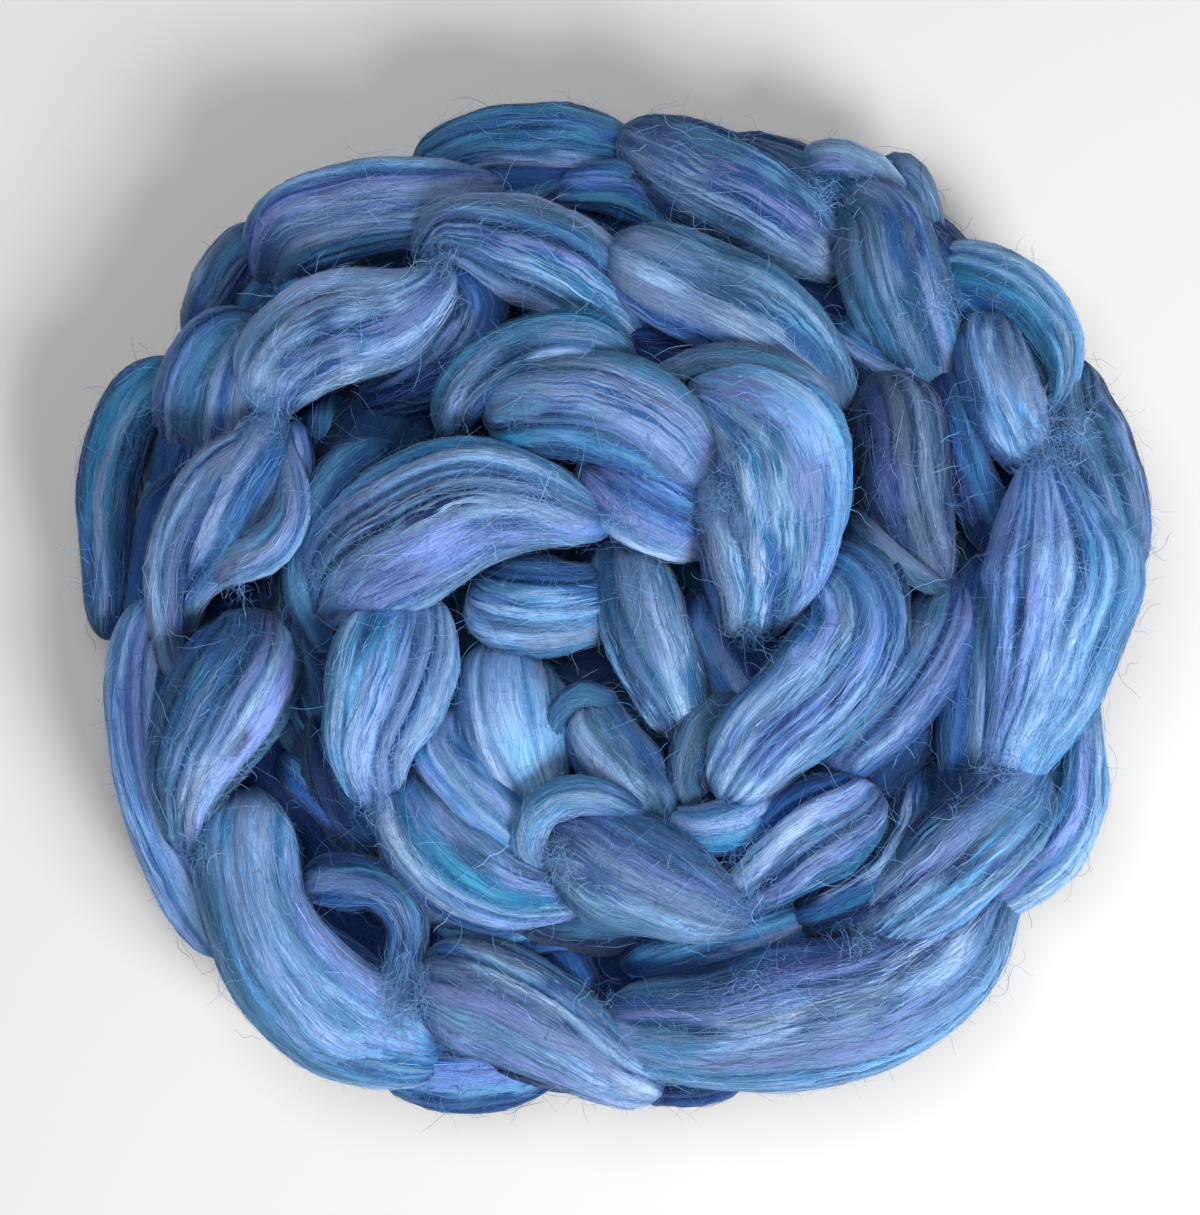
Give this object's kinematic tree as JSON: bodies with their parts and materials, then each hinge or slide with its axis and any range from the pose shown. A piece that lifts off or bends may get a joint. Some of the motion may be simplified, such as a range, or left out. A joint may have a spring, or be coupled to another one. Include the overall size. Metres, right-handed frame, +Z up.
{
  "type": "braid of combed wool roving",
  "caption": "Braid of combed, dyed wool roving, chained by hand and coiled into a round nest that lies flat.",
  "frame": {"origin": "middle of the coiled nest's box, at the level of the surface it lies on", "axes": "+Z up out of the nest, its shortest way; +Y away from the reader of the picture, +X to the picture's right"},
  "size_m": [0.2693, 0.2563, 0.0718],
  "materials": {
    "combed_wool": "soft combed fibre with a silky sheen, in streaks of denim, teal, sky and lavender blue"
  },
  "bodies": {
    "root": {"roving_braid": "combed_wool"}
  },
  "joints": []
}
